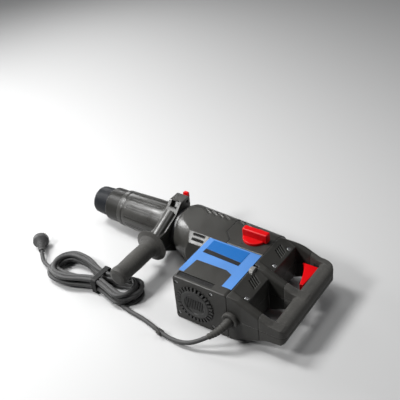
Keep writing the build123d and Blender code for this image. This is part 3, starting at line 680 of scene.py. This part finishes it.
def strain_relief():
    """Ribbed rubber boot that turns from the gland towards the lead."""
    start, end = Vector((-472, 181, 0)), Vector(LEAD[0])
    ahead = (Vector(LEAD[1]) - end).normalized()
    steps, groove_depth = 60, 1.1
    path = bezier(start, start + Vector((0, 36, 0)), end - ahead * 20, end + ahead * 3, steps)
    radii = []
    for k in range(steps + 1):
        t = k / steps
        radius = 10 - 4 * t
        if 0.38 < t < 0.93 and k % 6 < 2:
            radius -= groove_depth
        radii.append(radius * mm)
    radii[-1] = 5.2 * mm
    mesh = swept_mesh("strain_relief_boot", [p * mm for p in path], radii)
    boot = add_object("strain_relief_boot", mesh, "grip_rubber", "housing")
    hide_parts("strain_relief")
    return boot


def lead_clip():
    """Rubber strap looped round the lead, with its free end standing up."""
    centre = Vector(CLIP_AT)
    along = Vector((0.98, -0.19, 0))
    across = Vector((0.19, 0.98, 0))
    up = Vector((0, 0, 1))
    half_width = 5.5
    turns = [math.radians(degrees) for degrees in range(120, 421, 20)]
    thick, radius = 1.3, 5.2
    flat = 0.1 + thick - CORD_D / 2        # it lies flat where the lead rests on the ground
    outline = [(radius * math.cos(a), max(radius * math.sin(a), flat)) for a in turns]
    outline += [(4.2, 9), (5.6, 15), (8.4, 21), (12, 25)]
    verts, faces = [], []
    count = len(outline)
    for k, (u, v) in enumerate(outline):
        a, b = outline[max(k - 1, 0)], outline[min(k + 1, count - 1)]
        length = math.hypot(b[0] - a[0], b[1] - a[1])
        normal = ((b[1] - a[1]) / length, -(b[0] - a[0]) / length)
        for out in (0, thick):
            for half in (-half_width, half_width):
                u_out, v_out = u + normal[0] * out, v + normal[1] * out
                verts.append((centre + across * u_out + up * v_out + along * half) * mm)
    for k in range(count - 1):
        a, b = 4 * k, 4 * k + 4
        for i, n in ((0, 1), (1, 3), (3, 2), (2, 0)):
            faces.append((a + i, a + n, b + n, b + i))
    faces += [(0, 2, 3, 1), (4 * count - 4, 4 * count - 3, 4 * count - 1, 4 * count - 2)]
    mesh = bpy.data.meshes.new("lead_clip")
    mesh.from_pydata(verts, [], faces)
    return rounded(add_object("lead_clip", mesh, "grip_rubber", "housing"), 0.35)


def make_lead():
    """Makes the lead with its boot and clip, and lists the pieces that ride on the lead."""
    lead, boot = mains_lead(), strain_relief()
    on_lead = [boot, lead_clip(), nodes["plug_body"], nodes["plug_pins"], nodes["cable_ties"]]


make_lead()


# ---- stage --------------------------------------------------------------------------------
def make_floor():
    """A plain light ground that the tool lies on."""
    size = 4.0
    mesh = bpy.data.meshes.new("floor")
    z = cad_box[0].z
    corners = [(-size, -size, z), (size, -size, z), (size, size, z), (-size, size, z)]
    mesh.from_pydata(corners, [], [(0, 1, 2, 3)])
    floor = bpy.data.objects.new("floor", mesh)
    bpy.context.scene.collection.objects.link(floor)
    g = Graph("floor_paint")
    floor.data.materials.append(g.finish((0.36, 0.36, 0.36), 0.8))


def area_light(name, place, target, size, power):
    light = bpy.data.lights.new(name, "AREA")
    light.shape = "RECTANGLE"
    light.size, light.size_y = size
    light.energy = power
    lamp = bpy.data.objects.new(name, light)
    lamp.location = place
    lamp.rotation_euler = (Vector(target) - Vector(place)).to_track_quat("-Z", "Y").to_euler()
    bpy.context.scene.collection.objects.link(lamp)


CENTRE = (-0.3, 0.06, 0)
# Each lamp's place, target, size in metres and power in watts.
LAMPS = {
    "key": ((-0.2, -0.1, 1.7), CENTRE, (0.5, 0.5), 9),
    "front": ((0.45, 0.25, 1.25), (-0.15, 0.02, 0), (0.3, 0.5), 27),
    "edge": ((0.39, 1.1, 1.1), CENTRE, (0.3, 0.3), 25),
    "nose": ((1.2, 0.15, 0.45), (-0.25, 0.03, 0), (0.35, 0.35), 14),
    "rim": ((0.9, -0.9, 0.7), CENTRE, (0.5, 0.5), 6),
    "side": ((-1.5, -0.3, 1.0), CENTRE, (0.5, 0.5), 5),
}


def make_lights():
    """Soft lamps above and all round, the strongest in front of the barrel, and a faint cool sky."""
    for name, (place, target, size, power) in LAMPS.items():
        area_light(name, place, target, size, power)
    world = bpy.data.worlds.new("studio")
    world.use_nodes = True
    background = world.node_tree.nodes["Background"]
    background.inputs["Color"].default_value = (0.93, 0.96, 1, 1)
    background.inputs["Strength"].default_value = 0.08
    bpy.context.scene.world = world


def make_camera():
    """The photograph's viewpoint: above the motor's end, behind the rear handle."""
    place = Matrix.Translation((-1.05517, 1.01716, 0.995935))
    right = Vector((-0.826949, -0.556457, -0.080693))
    forward = Vector((0.493599, -0.649697, -0.578147))
    up = right.cross(forward)
    data = bpy.data.cameras.new("camera")
    data.lens = 67.45
    data.sensor_width = 36
    camera = bpy.data.objects.new("camera", data)
    turn = Matrix((right, up, -forward)).transposed().to_4x4()
    camera.matrix_world = place @ turn
    bpy.context.scene.collection.objects.link(camera)
    bpy.context.scene.camera = camera


make_floor()
make_lights()
make_camera()
bpy.context.scene.view_settings.view_transform = "Standard"
